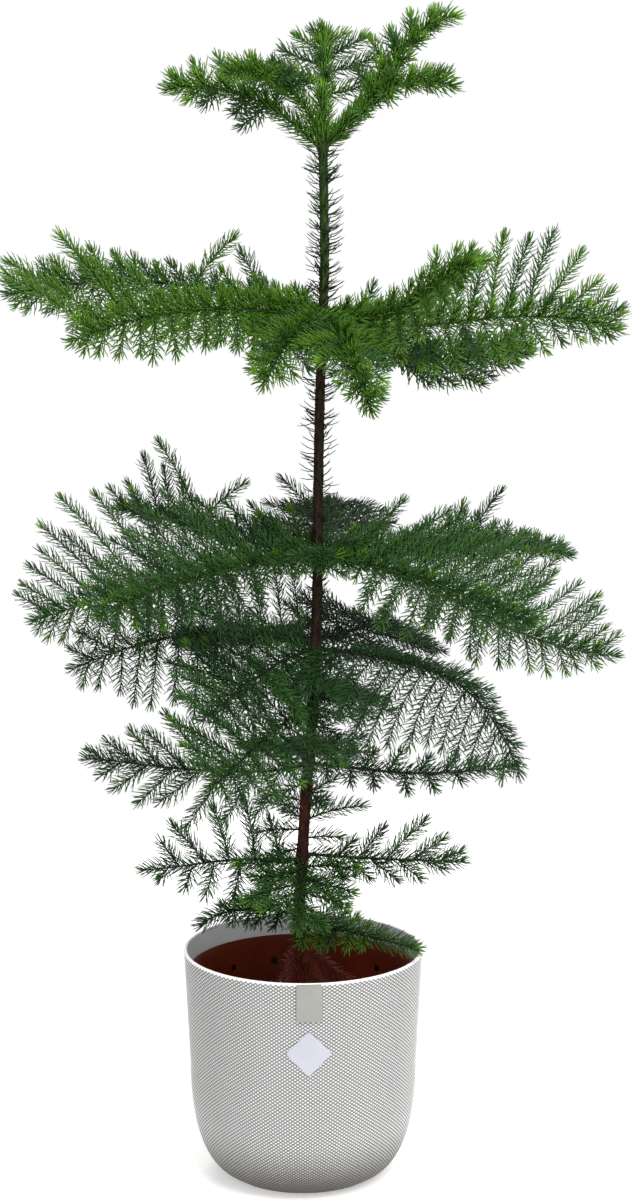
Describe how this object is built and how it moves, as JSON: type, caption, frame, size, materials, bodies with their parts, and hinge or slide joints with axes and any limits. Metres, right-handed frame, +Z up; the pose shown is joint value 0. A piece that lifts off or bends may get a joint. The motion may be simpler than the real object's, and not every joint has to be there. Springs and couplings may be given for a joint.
{
  "type": "potted norfolk island pine",
  "caption": "Norfolk Island pine in a round white cover pot: slender leaning trunk with tiers of level, drooping fronds of short needles and open gaps between the tiers.",
  "frame": {"origin": "centre of the flat underside of the cover pot", "axes": "+Z up along the trunk, -Y to the front of the pot where its tab is, +X to the right seen from the front"},
  "size_m": [0.4956, 0.36, 0.9273],
  "materials": {
    "pot_plastic": "matte white, finely knurled",
    "grower_plastic": "terracotta brown, smooth",
    "soil": "dark moist potting soil",
    "bark": "scaly brown bark",
    "leaf_bright": "bright new needles",
    "leaf_mid": "green needles",
    "leaf_deep": "deep green needles",
    "leaf_dark": "dark old needles"
  },
  "bodies": {
    "root": {"cover_pot": "pot_plastic", "grower_pot": "grower_plastic", "root_ball": "soil", "trunk": "bark", "top_left_bough": "bark", "top_left_foliage": "leaf_bright", "top_front_bough": "bark", "top_front_foliage": "leaf_bright", "top_front_right_bough": "bark", "top_front_right_foliage": "leaf_bright", "top_right_bough": "bark", "top_right_foliage": "leaf_bright", "top_back_foliage": "leaf_bright", "upper_front_bough": "bark", "upper_front_foliage": "leaf_bright", "upper_front_right_bough": "bark", "upper_front_right_foliage": "leaf_bright", "upper_right_bough": "bark", "upper_right_foliage": "leaf_bright", "upper_back_right_foliage": "leaf_bright", "upper_back_foliage": "leaf_bright", "upper_back_left_bough": "bark", "upper_back_left_foliage": "leaf_bright", "upper_left_bough": "bark", "upper_left_foliage": "leaf_bright", "upper_front_left_bough": "bark", "upper_front_left_foliage": "leaf_bright", "middle_front_right_bough": "bark", "middle_front_right_foliage": "leaf_mid", "middle_right_bough": "bark", "middle_right_foliage": "leaf_mid", "middle_back_right_bough": "bark", "middle_back_right_foliage": "leaf_mid", "middle_back_bough": "bark", "middle_back_foliage": "leaf_mid", "middle_back_left_bough": "bark", "middle_back_left_foliage": "leaf_mid", "middle_left_bough": "bark", "middle_left_foliage": "leaf_mid", "middle_front_left_bough": "bark", "middle_front_left_foliage": "leaf_mid", "lower_front_right_bough": "bark", "lower_front_right_foliage": "leaf_dark", "lower_back_right_foliage": "leaf_dark", "lower_back_left_foliage": "leaf_dark", "lower_left_bough": "bark", "lower_left_foliage": "leaf_dark", "lower_front_left_foliage": "leaf_dark", "low_front_left_foliage": "leaf_mid", "low_back_right_foliage": "leaf_mid", "skirt_front_right_foliage": "leaf_mid", "skirt_back_foliage": "leaf_mid", "skirt_left_foliage": "leaf_mid", "bottom_front_foliage": "leaf_deep", "bottom_right_bough": "bark", "bottom_right_foliage": "leaf_deep", "bottom_left_bough": "bark", "bottom_left_foliage": "leaf_deep", "lowest_right_foliage": "leaf_deep", "lowest_left_foliage": "leaf_deep"}
  },
  "joints": []
}
